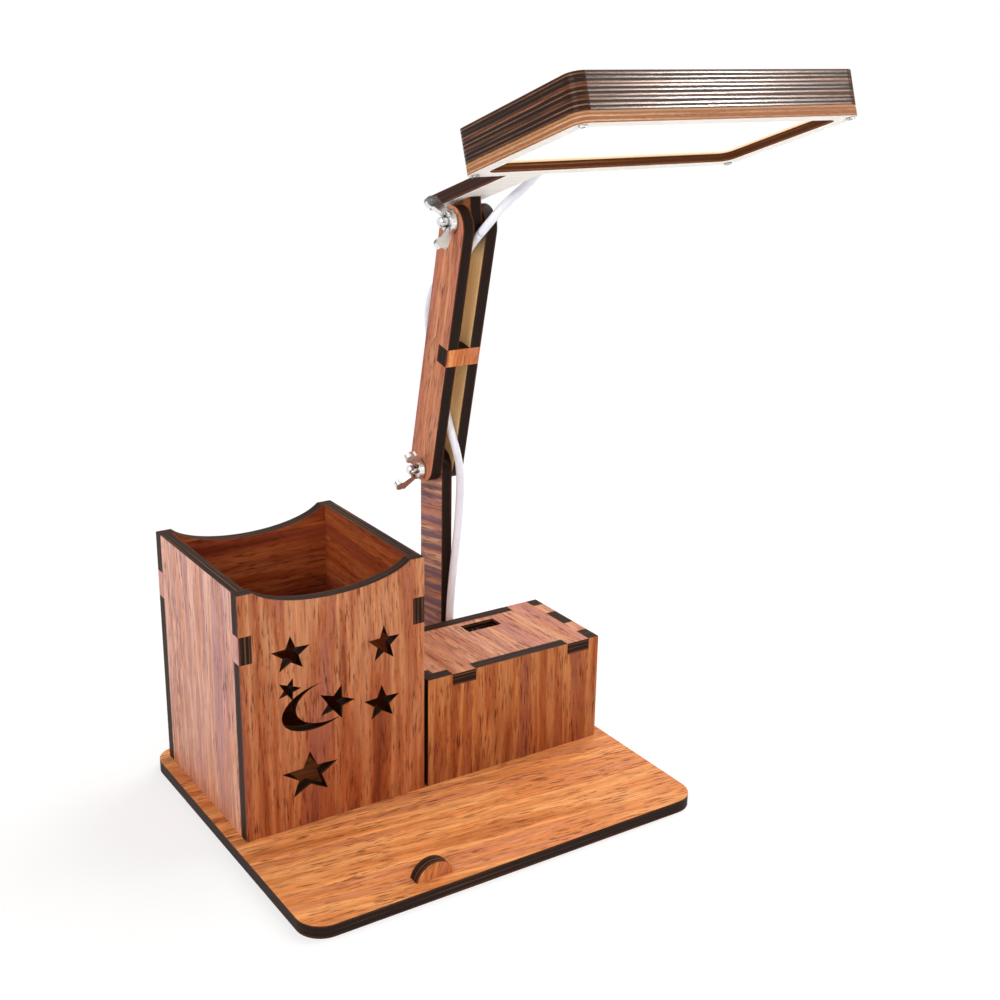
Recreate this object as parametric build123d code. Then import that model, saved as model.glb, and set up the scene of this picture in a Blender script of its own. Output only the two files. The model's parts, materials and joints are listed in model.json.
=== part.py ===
from build123d import *
import os
from math import cos, radians, sin, sqrt, tan

# Desk lamp with pen holder, cut from flat boards. Millimetres, +Z up, +X to the right, front towards -Y.
# The origin is the middle of the base's underside.

# Boards and fits
board = 5.0            # base, holder, box, post and arm
fit_gap = 0.15         # slip fit of pieces that slide or lift
swing_gap = 0.3        # air between boards that swing past each other
hole_gap = 0.05        # round a bolt or screw, on the radius
seat_gap = 0.1         # between stacked metal pieces that turn on each other
overrun = 2.0          # how far a cutter runs past the face it leaves

# Base, as large as what stands on it and these margins
side_margin = 5.2      # base's left edge to the holder
right_margin = 5.3     # box to the base's right edge
front_shelf = 62.4     # base's front edge to the front panels
back_margin = 6.1      # holder or post, whichever reaches further, to the base's back edge
base_corner = 10.0
tenon_w = 14.0         # every standing board has one tenon of this width in the base
tenon_recess = 0.3     # tenon ends stay above the base's underside

# Phone stop
stop_r = 7.9
stop_sink = 1.6        # middle of the stop's round below the base's top
stop_x = 33.1          # middle of the stop, left of the base's middle
stop_margin = 5.5      # base's front edge to the stop

# Pen holder
holder_w = 76.7
holder_d = 78.5
holder_h = 99.2
holder_ear = 6.2       # flat shoulder at each end of the scooped top edges
holder_scoop = 7.4     # depth of the scoop
scoop_lead = 1.85      # how far the scoop's ellipse would run on past the scoop's ends
holder_tab_h = 10.9    # tabs of the side panels
holder_tab_drop = 16.0 # holder's top to the tabs

# Cut-outs in the holder's front: middle along the width and up the height, half width and half height (both
# as shares of the holder's width) and a turn in degrees
star_shares = (
    (0.262, 0.727, 0.107, 0.098, 0),
    (0.768, 0.679, 0.093, 0.104, 0),
    (0.248, 0.586, 0.066, 0.064, -21),
    (0.497, 0.484, 0.106, 0.096, -20),
    (0.753, 0.431, 0.106, 0.100, 0),
    (0.349, 0.211, 0.160, 0.128, 0),
)
star_points = 5
star_waist_share = 0.42
moon_outer_shares = (0.407, 0.491, 0.204, 0.117, 10)
moon_inner_shares = (0.457, 0.502, 0.176, 0.109, 6)

# Battery box
box_gap = 1.8          # between holder and box
box_w = 83.6
box_d = 46.6
box_h = 46.8
lid_corner = 11.4      # box's left end to the lid's first tab
lid_tab = 11.0         # lid's tabs in the front and back panels
side_corner = 8.6      # box's front to the lid's first side tab
side_tab = 9.7         # lid's tabs in the side panels
side_merlon = 12.8     # between the two side tabs
slot_x = 38.8          # box's left end to the lid's slot
slot_back = 8.0        # box's back to the slot
slot_w = 16.4
slot_d = 7.0

# Switch under the lid's slot
switch_w = 22.0
switch_d = 10.4
switch_h = 7.0
switch_trough = 2.5
switch_travel = 6.0
knob_w = 6.0
knob_d = 5.0
knob_sink = 2.2        # knob's top below the lid's top
knob_rib = 0.8

# Battery holder with four cells in two rows of two
cell_r = 7.1
cell_len = 49.2
nub_r = 2.7
nub_len = 1.2
cell_gap = 0.2
cell_pitch = 15.0
contact_t = 0.5
contact_w = 10.0
contact_bump = 2.4
contact_bump_r = 3.0
case_wall = 2.0
case_side = 1.4
case_side_h = 12.0
case_shelf = 1.6

# Wire terminal and cable outlet in the box's back
outlet_z = 31.0
terminal_w = 14.0
terminal_d = 3.2
terminal_h = 8.0

# Post, arm and pivots
post_gap = 8.6         # box's back to the post
post_w = 17.4
pivot_z = 116.6
arm_len = 109.7        # pivot to pivot
arm_end = 5.2          # lower pivot to the lower end of an arm plate
arm_top_end = 6.1      # upper pivot to its upper end
arm_w = 17.4
arm_lean = 12.9        # degrees, forward
spacer_h = 7.5
spacer_d = 7.0
bolt_r = 2.0
bolt_head_r = 3.9
bolt_head_h = 2.6
bolt_slot = 1.0
bolt_proud = 3.4       # bolt's end past the nut
bolt_tip = 0.6         # taper at the bolt's end
washer_r = 4.8
washer_t = 0.5
nut_base_r = 4.6
nut_top_r = 4.2
nut_h = 2.2
wing_span = 21.0
wing_rise = 9.3        # wing tips above the nut's seat
wing_start = 0.4       # wing roots above the nut's seat
wing_tip = 4.4         # width of the wing's rounded tip
wing_t = 2.4
lower_nut_turn = 108.0
upper_nut_turn = 51.0

# Head
head_tilt = 18.7       # degrees, front edge up
head_reach = 42.0      # upper pivot to the head's back edge, along the head
head_rise = 7.9        # upper pivot to the head's underside, square to it
head_left = 26.7       # arm's middle to the head's left edge
head_w = 126.2
head_l = 73.0
head_corner = 5.0
frame_board = 3.2      # bottom frame
tongue_board = 5.0     # its tongue, behind the head's back edge
head_board = 4.2       # the three boards above the sheet
sheet_t = 0.8
sheet_inset = 0.4
rail = 6.0             # width of the frames round the window
window_corner = 4.5
tongue_tail = 17.6     # upper pivot to the tongue's back end
tongue_corner = 3.0
hinge_r = 5.5
hinge_front = 7.0      # upper pivot to the hinge plate's front and back ends, under the tongue
hinge_back = 9.2
hinge_tab = 10.0
screw_inset = 3.3
screw_r = 1.0
screw_head_r = 1.6
screw_head_h = 0.7
screw_slot = 0.5
screw_len = 11.0
led_margin = 3.0       # frames' inner edge to the LED board
led_board_t = 1.2
led_size = 3.5
led_t = 0.7
led_columns = 8
led_rows = 4
led_terminal_w = 8.0
led_terminal_d = 6.0

# Cable
cable_r = 1.7
cable_gap = 0.3
cable_x = 19.4         # arm's middle to the cable's notch in the head
tail_out = 5.0         # straight tail outside the head's back edge
loop_out = 9.6         # from that tail on to the first bend
outlet_out = 0.3       # straight tail outside the box's back panel
outlet_bend = 2.4      # from that tail on to the last bend

# Middle stretch of the cable, in the order in which it runs down from the head
head_loop_route = [(56.0, 13.0, 238.2), (50.2, 14.8, 233.4), (45.0, 15.4, 229.0), (40.9, 17.7, 223.0)]
arm_run_route = [(38.9, 25.0, 215.6), (38.9, 33.0, 206.8), (38.8, 42.6, 200.8), (37.6, 50.8, 195.6),
                 (36.9, 55.0, 187.0), (36.9, 55.6, 177.4), (38.0, 54.4, 167.6), (39.0, 50.8, 156.8),
                 (39.2, 46.4, 146.0)]
post_run_route = [(39.4, 41.8, 135.4), (40.6, 38.9, 127.0), (42.9, 39.7, 118.8), (44.0, 40.8, 110.4),
                  (43.9, 41.3, 101.4), (43.3, 41.4, 92.2), (42.4, 41.5, 82.8), (41.2, 41.5, 73.2),
                  (40.2, 41.3, 63.8), (39.5, 41.4, 54.6), (39.3, 41.2, 46.2), (39.2, 41.5, 39.0),
                  (39.2, 41.4, 34.4), (39.2, 40.2, 32.2)]
run_use_share = 0.45

# Places that follow from the sizes above
base_w = side_margin + holder_w + box_gap + box_w + right_margin
base_d = front_shelf + max(holder_d, box_d + post_gap + post_w) + back_margin
left = -base_w / 2
front = -base_d / 2
holder_x0 = left + side_margin
holder_x1 = holder_x0 + holder_w
panel_y = front + front_shelf
holder_y1 = panel_y + holder_d
holder_top = board + holder_h
tab_top = holder_top - holder_tab_drop
box_x0 = holder_x1 + box_gap
box_x1 = box_x0 + box_w
box_y1 = panel_y + box_d
box_top = board + box_h
lid_z = box_top - board
arm_x = (box_x0 + box_x1) / 2
post_y = box_y1 + post_gap + post_w / 2
fork_w = 3 * board + 2 * swing_gap
frame_top = head_rise + frame_board
lower_z = frame_top + sheet_t
upper_z = lower_z + head_board
cover_z = upper_z + head_board
arm_place = Pos(arm_x, post_y, pivot_z) * Rot(arm_lean, 0, 0)
head_place = arm_place * Pos(0, 0, arm_len) * Rot(-arm_lean - head_tilt, 0, 0)


def around(middle, width):
    """Low and high limit of a width about its middle."""
    return middle - width / 2, middle + width / 2


def block(x, y, z):
    """A box between low and high limits along each axis."""
    limits = (x, y, z)
    size = [high - low for low, high in limits]
    middle = [(high + low) / 2 for low, high in limits]
    return Pos(*middle) * Box(*size)


def rod_x(radius, x, y=0, z=0):
    """A round bar along X between two limits."""
    return Pos((x[0] + x[1]) / 2, y, z) * Rot(0, 90, 0) * Cylinder(radius, x[1] - x[0])


def rod_y(radius, y, x=0, z=0):
    """A round bar along Y between two limits."""
    return Pos(x, (y[0] + y[1]) / 2, z) * Rot(90, 0, 0) * Cylinder(radius, y[1] - y[0])


def rod_z(radius, z, x=0, y=0):
    """A round bar along Z between two limits."""
    return Pos(x, y, (z[0] + z[1]) / 2) * Cylinder(radius, z[1] - z[0])


def past(limits):
    """Limits stretched at both ends by the cutters' overrun."""
    return limits[0] - overrun, limits[1] + overrun


def grown(limits, gap):
    """Limits stretched at both ends by a gap."""
    return limits[0] - gap, limits[1] + gap


nodes = {}

# Where each standing board's tenon goes through the base
holder_x = (holder_x0 + holder_x1) / 2
holder_y = (panel_y + holder_y1) / 2
box_y = (panel_y + box_y1) / 2
front_y = (panel_y, panel_y + board)
holder_back_y = (holder_y1 - board, holder_y1)
holder_left_x = (holder_x0, holder_x0 + board)
holder_right_x = (holder_x1 - board, holder_x1)
box_back_y = (box_y1 - board, box_y1)
box_left_x = (box_x0, box_x0 + board)
box_right_x = (box_x1 - board, box_x1)
post_x = around(arm_x, board)
stop_y = (front + stop_margin, front + stop_margin + board)
tenons = {
    "holder_front": (around(holder_x, tenon_w), front_y),
    "holder_back": (around(holder_x, tenon_w), holder_back_y),
    "holder_left": (holder_left_x, around(holder_y, tenon_w)),
    "holder_right": (holder_right_x, around(holder_y, tenon_w)),
    "box_front": (around(arm_x, tenon_w), front_y),
    "box_back": (around(arm_x, tenon_w), box_back_y),
    "box_left": (box_left_x, around(box_y, tenon_w)),
    "box_right": (box_right_x, around(box_y, tenon_w)),
    "post": (post_x, around(post_y, tenon_w)),
    "phone_stop": (around(-stop_x, tenon_w), stop_y),
}


def footed(name, shape):
    """A standing board with its tenon in the base."""
    return shape + block(*tenons[name], (tenon_recess, board))


# Base and phone stop
base = extrude(RectangleRounded(base_w, base_d, base_corner), board)
for tenon_x, tenon_y in tenons.values():
    base -= block(tenon_x, tenon_y, past((0, board)))
nodes["base_board"] = base

stop_disc = rod_y(stop_r, stop_y, -stop_x, board - stop_sink)
stop_room = block(around(-stop_x, 2 * stop_r), stop_y, (board, board + stop_r))
nodes["phone_stop"] = footed("phone_stop", stop_disc & stop_room)

# Pen holder
tab_z = (tab_top - holder_tab_h, tab_top)
inner_y = (panel_y + board, holder_y1 - board)
for side, side_x in (("holder_left", holder_left_x), ("holder_right", holder_right_x)):
    panel = block(side_x, inner_y, (board, holder_top)) + block(side_x, (panel_y, holder_y1), tab_z)
    nodes[side] = footed(side, panel)

scoop_w = holder_w / 2 - holder_ear
scoop_half = scoop_w + scoop_lead
scoop_rise = holder_scoop / (1 - sqrt(1 - (scoop_w / scoop_half) ** 2))


def scooped_panel(name, y):
    """Front or back of the holder: full width, scooped top, notches for the side panels' tabs."""
    panel = block((holder_x0, holder_x1), y, (board, holder_top))
    scoop = Pos(holder_x, holder_top - holder_scoop + scoop_rise) * Ellipse(scoop_half, scoop_rise)
    panel -= Pos(0, y[1] + overrun, 0) * extrude(Plane.XZ * scoop, board + 2 * overrun)
    for notch_x in (holder_left_x, holder_right_x):
        panel -= block(notch_x, past(y), tab_z)
    return footed(name, panel)


def star(half_w, half_h, turn):
    """A pointed star, a unit shape scaled to its half width and half height."""
    step = 180 / star_points
    corners = []
    for i in range(2 * star_points):
        reach = star_waist_share if i % 2 else 1
        angle = radians(90 + i * step)
        corners.append((half_w * reach * cos(angle), half_h * reach * sin(angle)))
    return Rot(0, 0, turn) * Polygon(*corners, align=None)


def on_front(share_x, share_z):
    """A place on the holder's front, from shares of its width and height."""
    return Pos(holder_x0 + share_x * holder_w, board + share_z * holder_h)


def oval(share_x, share_z, wide_share, tall_share, turn):
    """An ellipse on the holder's front."""
    shape = Ellipse(wide_share * holder_w, tall_share * holder_w)
    return on_front(share_x, share_z) * Rot(0, 0, turn) * shape


cut_outs = oval(*moon_outer_shares) - oval(*moon_inner_shares)
for share_x, share_z, wide_share, tall_share, turn in star_shares:
    cut_outs += on_front(share_x, share_z) * star(wide_share * holder_w, tall_share * holder_w, turn)
cutter = extrude(Plane.XZ * cut_outs, board + 2 * overrun)
nodes["holder_front"] = scooped_panel("holder_front", front_y) - Pos(0, panel_y + board + overrun, 0) * cutter
nodes["holder_back"] = scooped_panel("holder_back", holder_back_y)

# Battery box with a lid that lifts off
lid_tab_2 = box_x1 - board - lid_tab
long_merlons = (
    (box_x0, box_x0 + lid_corner),
    (box_x0 + lid_corner + lid_tab, lid_tab_2),
    (lid_tab_2 + lid_tab, box_x1),
)
side_1 = panel_y + side_corner
side_2 = side_1 + side_tab + side_merlon
side_merlons = ((panel_y + board, side_1), (side_1 + side_tab, side_2), (side_2 + side_tab, box_y1 - board))
top_z = (lid_z, box_top)
lid = block((box_x0, box_x1), (panel_y, box_y1), top_z)
for name, y in (("box_front", front_y), ("box_back", box_back_y)):
    panel = block((box_x0, box_x1), y, (board, lid_z))
    for merlon in long_merlons:
        panel += block(merlon, y, top_z)
        lid -= block(grown(merlon, fit_gap), grown(y, fit_gap), past(top_z))
    nodes[name] = footed(name, panel)
for name, x in (("box_left", box_left_x), ("box_right", box_right_x)):
    panel = block(x, (panel_y + board, box_y1 - board), (board, lid_z))
    for merlon in side_merlons:
        panel += block(x, merlon, top_z)
        lid -= block(grown(x, fit_gap), grown(merlon, fit_gap), past(top_z))
    nodes[name] = footed(name, panel)
slot = (box_x0 + slot_x, box_x0 + slot_x + slot_w), (box_y1 - slot_back - slot_d, box_y1 - slot_back)
nodes["box_lid"] = lid - block(*slot, past(top_z))

# Slide switch under the lid
switch_x = box_x0 + slot_x + slot_w / 2
switch_y = box_y1 - slot_back - slot_d / 2
trough_x = around(switch_x, knob_w + switch_travel + 2 * fit_gap)
trough_y = around(switch_y, knob_d + 2 * fit_gap)
trough_z = lid_z - switch_trough
switch = block(around(switch_x, switch_w), around(switch_y, switch_d), (lid_z - switch_h, lid_z))
nodes["switch_body"] = switch - block(trough_x, trough_y, (trough_z, lid_z + overrun))

knob_x = (trough_x[0] + fit_gap, trough_x[0] + fit_gap + knob_w)
knob_top = box_top - knob_sink
knob = block(knob_x, around(switch_y, knob_d), (trough_z + fit_gap, knob_top - knob_rib))
for place in (knob_x[0] + knob_rib / 2, sum(knob_x) / 2, knob_x[1] - knob_rib / 2):
    knob += block(around(place, knob_rib), around(switch_y, knob_d), (knob_top - knob_rib, knob_top))
nodes["switch_knob"] = knob

# Battery holder, cells and contacts
case_inner = 2 * contact_t + contact_bump + cell_len + nub_len + 2 * seat_gap
case_x = around(arm_x, case_inner)
case_half_w = cell_pitch / 2 + cell_r + cell_gap + case_side
case_h = case_shelf + 4 * (cell_r + cell_gap)
case_y_mid = panel_y + board + cell_gap + case_half_w
case_y = around(case_y_mid, 2 * case_half_w)
case_z_mid = board + case_h / 2
case = block(case_x, case_y, around(case_z_mid, case_shelf))
for x in ((case_x[0] - case_wall, case_x[0]), (case_x[1], case_x[1] + case_wall)):
    case += block(x, case_y, (board, board + case_h))
for y in ((case_y[0], case_y[0] + case_side), (case_y[1] - case_side, case_y[1])):
    case += block(case_x, y, around(case_z_mid, case_side_h))
nodes["battery_holder"] = case

cells = []
contacts = []
for row in (-1, 1):
    for column in (-1, 1):
        way = row * column
        cell_y = case_y_mid + column * cell_pitch / 2
        cell_z = case_z_mid + row * (case_shelf / 2 + cell_gap + cell_r)
        stand = Pos(arm_x, cell_y, cell_z) * Rot(0, 0, 0 if way > 0 else 180)
        low = -case_inner / 2 + contact_t + contact_bump + seat_gap
        cell = rod_x(cell_r, (low, low + cell_len)) + rod_x(nub_r, (low + cell_len, low + cell_len + nub_len))
        cells.append(stand * cell)
        pad = around(0, contact_w)
        minus_x = (-case_inner / 2, -case_inner / 2 + contact_t)
        bump = rod_x(contact_bump_r, (minus_x[1], minus_x[1] + contact_bump))
        contacts.append(stand * (block(minus_x, pad, pad) + bump))
        contacts.append(stand * block((case_inner / 2 - contact_t, case_inner / 2), pad, pad))
nodes["battery_cells"] = Compound(children=cells)
nodes["battery_contacts"] = Compound(children=contacts)

# Cable outlet in the box's back, with the wire terminal behind it
nodes["box_back"] -= rod_y(cable_r + cable_gap, past(box_back_y), arm_x, outlet_z)
terminal_y = (box_back_y[0] - terminal_d, box_back_y[0])
nodes["wire_terminal"] = block(around(arm_x, terminal_w), terminal_y, around(outlet_z, terminal_h))

# Post
post = block(post_x, around(post_y, post_w), (board, pivot_z)) + rod_x(post_w / 2, post_x, post_y, pivot_z)
post -= rod_x(bolt_r + hole_gap, past(post_x), post_y, pivot_z)
nodes["post"] = footed("post", post)

# Arm: two plates with a spacer let into their front edges, made upright on the lower pivot
spacer_y = (-arm_w / 2, spacer_d - arm_w / 2)
spacer_z = around(arm_len / 2, spacer_h)
for name, x in (("arm_plate_left", (-fork_w / 2, board - fork_w / 2)),
                ("arm_plate_right", (fork_w / 2 - board, fork_w / 2))):
    round_z = (arm_w / 2 - arm_end, arm_len + arm_top_end - arm_w / 2)
    plate = block(x, around(0, arm_w), round_z)
    for z in round_z:
        plate += rod_x(arm_w / 2, x, 0, z)
    for z in (0, arm_len):
        plate -= rod_x(bolt_r + hole_gap, past(x), 0, z)
    plate -= block(past(x), (spacer_y[0] - overrun, spacer_y[1]), spacer_z)
    nodes[name] = arm_place * plate
nodes["arm_spacer"] = arm_place * block(around(0, fork_w), spacer_y, spacer_z)

# Pivot hardware, along X through the fork
seat_x = fork_w / 2 + washer_t
nut_x = -seat_x - seat_gap
bolt_end = nut_x - nut_h - bolt_proud


def pivot_bolt():
    """Pan head bolt with a cross recess, its head on the right and its tapered end on the left."""
    bolt = rod_x(bolt_r, (bolt_end + bolt_tip, seat_x)) + rod_x(bolt_head_r, (seat_x, seat_x + bolt_head_h))
    bolt += Pos(bolt_end + bolt_tip / 2, 0, 0) * Rot(0, -90, 0) * Cone(bolt_r, bolt_r - bolt_tip, bolt_tip)
    recess_x = (seat_x + bolt_head_h / 2, seat_x + bolt_head_h + overrun)
    for y, z in ((bolt_head_r, bolt_slot), (bolt_slot, bolt_head_r)):
        bolt -= block(recess_x, around(0, y), around(0, z))
    return bolt


def pivot_washers():
    """One washer under the bolt's head and one under the nut."""
    pair = []
    for x in ((fork_w / 2, seat_x), (-seat_x, -fork_w / 2)):
        pair.append(rod_x(washer_r, x) - rod_x(bolt_r + hole_gap, past(x)))
    return Compound(children=pair)


def wing_nut(turn):
    """Tapered hub with two raised wings, on the left of the fork."""
    hub = Pos(nut_x - nut_h / 2, 0, 0) * Rot(0, -90, 0) * Cone(nut_base_r, nut_top_r, nut_h)
    tip = wing_span / 2 - wing_tip / 2
    rise = nut_x - wing_rise + wing_tip / 2
    inner = ((nut_x - wing_start, 0), (nut_x - nut_h, 0), (nut_x - nut_h, bolt_r), (rise - wing_tip / 2, tip))
    outer = ((rise + wing_tip / 2, tip + wing_tip / 2), (nut_x - wing_start, nut_top_r))
    leaf = Polygon(*inner, *outer, align=None)
    leaf += Pos(rise, tip) * Circle(wing_tip / 2)
    wing = extrude(leaf, wing_t / 2, both=True)
    nut = hub + wing + Rot(180, 0, 0) * wing
    nut -= rod_x(bolt_r + hole_gap, past((nut_x - wing_rise, nut_x)))
    return Rot(turn, 0, 0) * nut


for name, z, turn in (("lower", 0, lower_nut_turn), ("upper", arm_len, upper_nut_turn)):
    pivot_place = arm_place * Pos(0, 0, z)
    nodes[name + "_bolt"] = pivot_place * pivot_bolt()
    nodes[name + "_washers"] = pivot_place * pivot_washers()
    nodes[name + "_wing_nut"] = pivot_place * wing_nut(turn)

# Head, made flat on the upper pivot: -Y towards its front, +Z square to its underside
head_x = (-head_left, head_w - head_left)
head_y = (-head_reach - head_l, -head_reach)
head_mid = (sum(head_x) / 2, sum(head_y) / 2)


def head_plate(z, thickness, inset=0):
    """A full board of the head, its outline drawn in by an inset."""
    outline = RectangleRounded(head_w - 2 * inset, head_l - 2 * inset, head_corner - inset)
    return Pos(*head_mid, z) * extrude(outline, thickness)


def window(z, thickness):
    """Cutter for the opening inside the rails of a frame."""
    opening = RectangleRounded(head_w - 2 * rail, head_l - 2 * rail, window_corner)
    return Pos(*head_mid, z - overrun) * extrude(opening, thickness + 2 * overrun)


def screw_holes(z):
    """Cutters for the four corner screws."""
    holes = []
    for x in (head_x[0] + screw_inset, head_x[1] - screw_inset):
        for y in (head_y[0] + screw_inset, head_y[1] - screw_inset):
            holes.append(rod_z(screw_r + hole_gap, z, x, y))
    return holes


def tongue(root, thickness):
    """The tongue from its root to its rounded back end."""
    outline = Rectangle(fork_w, tongue_tail - root)
    outline = fillet(outline.vertices().sort_by(Axis.Y)[-2:], tongue_corner)
    return Pos(0, (root + tongue_tail) / 2, head_rise) * extrude(outline, thickness)


tongue_z = (head_rise, head_rise + tongue_board)
screw_z = (head_rise - overrun, head_rise + screw_len)
bottom_frame = head_plate(head_rise, frame_board) + tongue(head_y[1] - rail / 2, frame_board)
bottom_frame += tongue(head_y[1] + seat_gap, tongue_board)
bottom_frame -= window(head_rise, frame_board)
bottom_frame -= block(around(0, board), around(0, hinge_tab), past(tongue_z))
diffuser = head_plate(frame_top, sheet_t, sheet_inset)
lower_frame = head_plate(lower_z, head_board) - window(lower_z, head_board)
notch_x = around(cable_x, 2 * (cable_r + cable_gap))
lower_frame -= block(notch_x, (head_y[1] - rail - overrun, head_y[1] + overrun), past((lower_z, upper_z)))
upper_frame = head_plate(upper_z, head_board) - window(upper_z, head_board)
for hole in screw_holes(screw_z):
    bottom_frame -= hole
    diffuser -= hole
    lower_frame -= hole
    upper_frame -= hole
nodes["head_bottom_frame"] = head_place * bottom_frame
nodes["diffuser"] = head_place * diffuser
nodes["head_lower_frame"] = head_place * lower_frame
nodes["head_upper_frame"] = head_place * upper_frame
nodes["head_cover"] = head_place * head_plate(cover_z, head_board)

flank = Polygon((-hinge_r, 0), (hinge_r, 0), (hinge_back, head_rise), (-hinge_front, head_rise), align=None)
hinge = extrude(Plane.YZ * (flank + Circle(hinge_r)), board / 2, both=True)
hinge += block(around(0, board), around(0, hinge_tab), tongue_z)
nodes["hinge_plate"] = head_place * (hinge - rod_x(bolt_r + hole_gap, past(around(0, board))))

screws = []
for x in (head_x[0] + screw_inset, head_x[1] - screw_inset):
    for y in (head_y[0] + screw_inset, head_y[1] - screw_inset):
        screw = rod_z(screw_r, (head_rise, head_rise + screw_len), x, y)
        screw += rod_z(screw_head_r, (head_rise - screw_head_h, head_rise), x, y)
        for wide, deep in ((2 * screw_r, screw_slot), (screw_slot, 2 * screw_r)):
            recess = (head_rise - screw_head_h - overrun, head_rise - screw_head_h / 2)
            screw -= block(around(x, wide), around(y, deep), recess)
        screws.append(head_place * screw)
nodes["head_screws"] = Compound(children=screws)

# Light: LED board under the cover, its chips facing down, and a terminal at the cable's notch
led_inset = rail + led_margin
led_x = (head_x[0] + led_inset, head_x[1] - led_inset)
led_y = (head_y[0] + led_inset, head_y[1] - led_inset)
led_z = cover_z - led_board_t
nodes["led_board"] = head_place * block(led_x, led_y, (led_z, cover_z))
chips = []
for column in range(led_columns):
    for row in range(led_rows):
        chip_x = led_x[0] + (column + 1 / 2) * (led_x[1] - led_x[0]) / led_columns
        chip_y = led_y[0] + (row + 1 / 2) * (led_y[1] - led_y[0]) / led_rows
        chip = block(around(chip_x, led_size), around(chip_y, led_size), (led_z - led_t, led_z))
        chips.append(head_place * chip)
nodes["led_chips"] = Compound(children=chips)
wall_y = head_y[1] - rail
led_terminal_y = (wall_y - led_terminal_d, wall_y)
led_terminal = block(around(cable_x, led_terminal_w), led_terminal_y, (lower_z + cable_gap, led_z))
nodes["led_terminal"] = head_place * led_terminal

# Cable: straight tails at both ends, and between them one route split where it leaves the arm
tail_z = lower_z + head_board / 2
tail_y = (wall_y, head_y[1] + tail_out)
nodes["cable_head_tail"] = head_place * rod_y(cable_r, tail_y, cable_x, tail_z)
box_tail_y = (box_back_y[0], box_y1 + outlet_out)
nodes["cable_box_tail"] = rod_y(cable_r, box_tail_y, arm_x, outlet_z)


def halfway(a, b):
    """Middle of the run between two points."""
    return (Vector(*a) + Vector(*b)) * (1 / 2)


def cable_stretch(name, points):
    """A tube along straight runs joined by arcs as large as the runs allow."""
    points = [Vector(*p) for p in points]
    bends = []
    for before, point, after in zip(points, points[1:], points[2:]):
        shorter = min((point - before).length, (after - point).length)
        turn = radians((point - before).get_angle(after - point))
        bends.append(run_use_share * shorter / tan(turn / 2))
    path = FilletPolyline(*points, radius=bends)
    tube = sweep(Plane(path @ 0, z_dir=path % 0) * Circle(cable_r), path=path)
    expected = Circle(cable_r).area * path.length
    print(name, "length", round(path.length, 1), "volume share", round(tube.volume / expected, 4),
          "radii", [round(bend, 1) for bend in bends])
    return tube


head_tail_end = (head_place * Pos(cable_x, tail_y[1], tail_z)).position
first_bend = (head_place * Pos(cable_x, tail_y[1] + loop_out, tail_z)).position
box_tail_end = (arm_x, box_tail_y[1], outlet_z)
last_bend = (arm_x, box_tail_y[1] + outlet_bend, outlet_z)
into_arm = halfway(head_loop_route[-1], arm_run_route[0])
out_of_arm = halfway(arm_run_route[-1], post_run_route[0])
nodes["cable_head_loop"] = cable_stretch("head loop", [head_tail_end, first_bend, *head_loop_route, into_arm])
nodes["cable_arm_run"] = cable_stretch("arm run", [into_arm, *arm_run_route, out_of_arm])
nodes["cable_post_run"] = cable_stretch("post run", [out_of_arm, *post_run_route, last_bend, box_tail_end])

os.makedirs("parts", exist_ok=True)
for name, shape in nodes.items():
    export_step(shape, "parts/" + name + ".step")
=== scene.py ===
"""Looks of a desk lamp with a pen holder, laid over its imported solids."""
import json
import math

import bpy
from bpy.props import FloatProperty, FloatVectorProperty, IntProperty, PointerProperty
from mathutils import Euler, Matrix, Vector


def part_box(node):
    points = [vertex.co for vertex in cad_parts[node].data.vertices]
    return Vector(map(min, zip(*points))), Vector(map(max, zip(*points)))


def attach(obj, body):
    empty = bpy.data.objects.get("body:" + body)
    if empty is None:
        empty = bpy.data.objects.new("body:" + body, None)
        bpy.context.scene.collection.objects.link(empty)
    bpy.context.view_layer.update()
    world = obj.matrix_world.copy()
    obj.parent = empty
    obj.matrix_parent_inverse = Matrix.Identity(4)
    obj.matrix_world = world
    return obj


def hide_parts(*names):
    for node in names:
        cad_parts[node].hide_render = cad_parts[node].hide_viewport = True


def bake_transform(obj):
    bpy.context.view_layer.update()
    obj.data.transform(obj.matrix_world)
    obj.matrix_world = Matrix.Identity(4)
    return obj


bl_info = {
    "name": "Desk lamp with pen holder",
    "version": (1, 0, 0),
    "blender": (4, 5, 0),
    "location": "View3D > Sidebar > Desk lamp",
    "description": "Dresses a desk lamp's boards, hardware, light and cable, and sets its stage",
    "category": "Object",
}

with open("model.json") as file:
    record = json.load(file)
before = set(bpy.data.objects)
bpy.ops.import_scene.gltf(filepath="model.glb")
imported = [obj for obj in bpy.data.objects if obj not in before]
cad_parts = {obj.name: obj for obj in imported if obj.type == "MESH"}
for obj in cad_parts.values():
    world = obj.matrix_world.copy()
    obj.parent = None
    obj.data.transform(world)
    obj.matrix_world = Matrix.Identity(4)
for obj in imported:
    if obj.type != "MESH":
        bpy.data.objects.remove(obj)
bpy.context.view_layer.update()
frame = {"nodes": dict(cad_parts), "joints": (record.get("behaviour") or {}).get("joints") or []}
NODES = frame["nodes"]
PIVOTS = {joint["name"]: Vector(joint["pos_m"]) for joint in frame["joints"] if "pos_m" in joint}

MM = 0.001
X_WAY = Vector((1, 0, 0))
Y_WAY = Vector((0, 1, 0))
Z_WAY = Vector((0, 0, 1))
ARM_WAY = (PIVOTS["head_tilt"] - PIVOTS["arm_swing"]).normalized()
ARM_FRONT = ARM_WAY.cross(X_WAY)
HEAD_TILT = math.radians(18.7)
HEAD_UP = Vector((0, math.sin(HEAD_TILT), math.cos(HEAD_TILT)))
HEAD_BACK = HEAD_UP.cross(X_WAY)

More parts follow.
